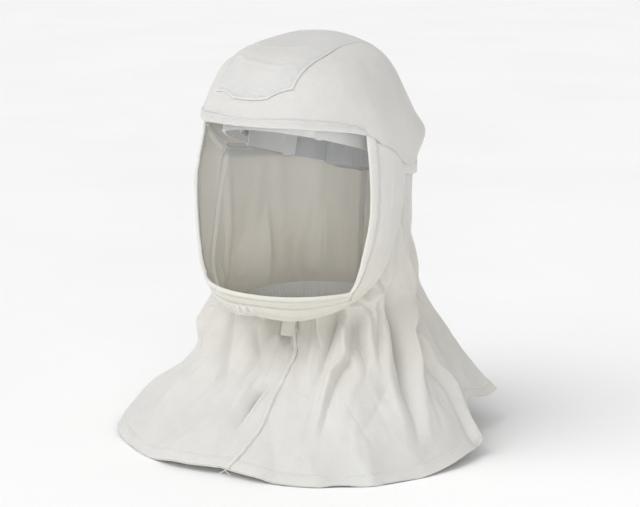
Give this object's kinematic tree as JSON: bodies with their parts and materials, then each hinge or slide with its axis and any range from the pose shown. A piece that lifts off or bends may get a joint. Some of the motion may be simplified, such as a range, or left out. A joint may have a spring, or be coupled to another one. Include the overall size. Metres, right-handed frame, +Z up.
{
  "type": "powered air respirator hood",
  "caption": "Fabric respirator hood with shoulder cape, clear visor, ratchet head harness, overhead air duct and a swivelling rear hose elbow.",
  "frame": {"origin": "centre of the headband ring, where the head holds the hood", "axes": "+Z up, -Y towards the wearer's front, +X towards the wearer's left"},
  "size_m": [0.3768, 0.3539, 0.409],
  "materials": {
    "hood_fabric": "matt off-white laminated nonwoven fabric with soft creases",
    "trim_fabric": "doubled off-white fabric with stitched edges",
    "collar_knit": "soft off-white knitted collar",
    "visor_film": "clear thin acetate sheet",
    "white_plastic": "fine satin moulded plastic",
    "grey_plastic": "fine grained grey moulded plastic",
    "dark_plastic": "fine grained dark grey moulded plastic",
    "pad_foam": "brushed light grey cloth over foam",
    "steel": "plated steel",
    "rubber": "matt black rubber"
  },
  "bodies": {
    "hood": {"crown_shell": "hood_fabric", "crown_panel": "trim_fabric", "brim_hem": "trim_fabric", "visor": "visor_film", "visor_binding": "trim_fabric", "visor_top_strip": "white_plastic", "visor_snaps": "steel", "cheek_panel_left": "hood_fabric", "cheek_panel_right": "hood_fabric", "chin_panel": "hood_fabric", "chin_tab": "trim_fabric", "shroud_left": "hood_fabric", "shroud_right": "hood_fabric", "front_seam": "trim_fabric", "back_seam": "trim_fabric", "nape_elastic": "trim_fabric", "inner_collar": "collar_knit", "collar_elastic": "collar_knit", "headband": "white_plastic", "sweatband": "pad_foam", "crown_strap": "white_plastic", "crown_pad": "pad_foam", "strap_keepers": "grey_plastic", "ratchet_base": "grey_plastic", "ratchet_cover": "grey_plastic", "cover_screws": "steel", "pawl_ring": "steel", "nape_pad": "pad_foam", "harness_rivets": "steel", "duct_upper": "white_plastic", "duct_lower": "white_plastic", "duct_saddle": "grey_plastic", "front_adapter": "grey_plastic", "plenum_body": "white_plastic", "plenum_grille": "grey_plastic", "inlet_housing": "white_plastic", "inlet_gasket": "rubber", "clamp_ring": "white_plastic", "clamp_screws": "steel", "swivel_o_ring": "rubber"},
    "knob": {"ratchet_knob": "grey_plastic", "ratchet_pinion": "white_plastic", "knob_screw": "steel", "knob_cap": "grey_plastic"},
    "strap_left": {"nape_strap_left": "grey_plastic"},
    "strap_right": {"nape_strap_right": "grey_plastic"},
    "vent_slider": {"vent_slider": "grey_plastic"},
    "elbow": {"hose_elbow": "dark_plastic", "socket_seal": "rubber"}
  },
  "joints": [
    {"name": "knob_turn", "type": "hinge", "parent": "hood", "child": "knob", "pos_m": [0, 0.02008, -0.00614], "axis": [0, 0.9563, -0.2924], "range_deg": [-200, 200]},
    {"name": "strap_left_slide", "type": "hinge", "parent": "hood", "child": "strap_left", "pos_m": [0, 0.02008, -0.00614], "axis": [0, 0.2924, 0.9563], "range_deg": [-12.2, 12.2]},
    {"name": "strap_right_slide", "type": "hinge", "parent": "hood", "child": "strap_right", "pos_m": [0, 0.02008, -0.00614], "axis": [0, 0.2924, 0.9563], "range_deg": [-12.2, 12.2]},
    {"name": "vent_slide", "type": "hinge", "parent": "hood", "child": "vent_slider", "pos_m": [0, -0.034, 0.0421], "axis": [0, 0, 1], "range_deg": [0, 6]},
    {"name": "hose_swivel", "type": "hinge", "parent": "hood", "child": "elbow", "pos_m": [0, 0.12045, 0.01192], "axis": [0, 0.9836, 0.1804], "continuous": true}
  ],
  "couplings": [
    {"joint": "strap_left_slide", "follows": "knob_turn", "ratio": -0.060132},
    {"joint": "strap_right_slide", "follows": "knob_turn", "ratio": 0.05872}
  ]
}
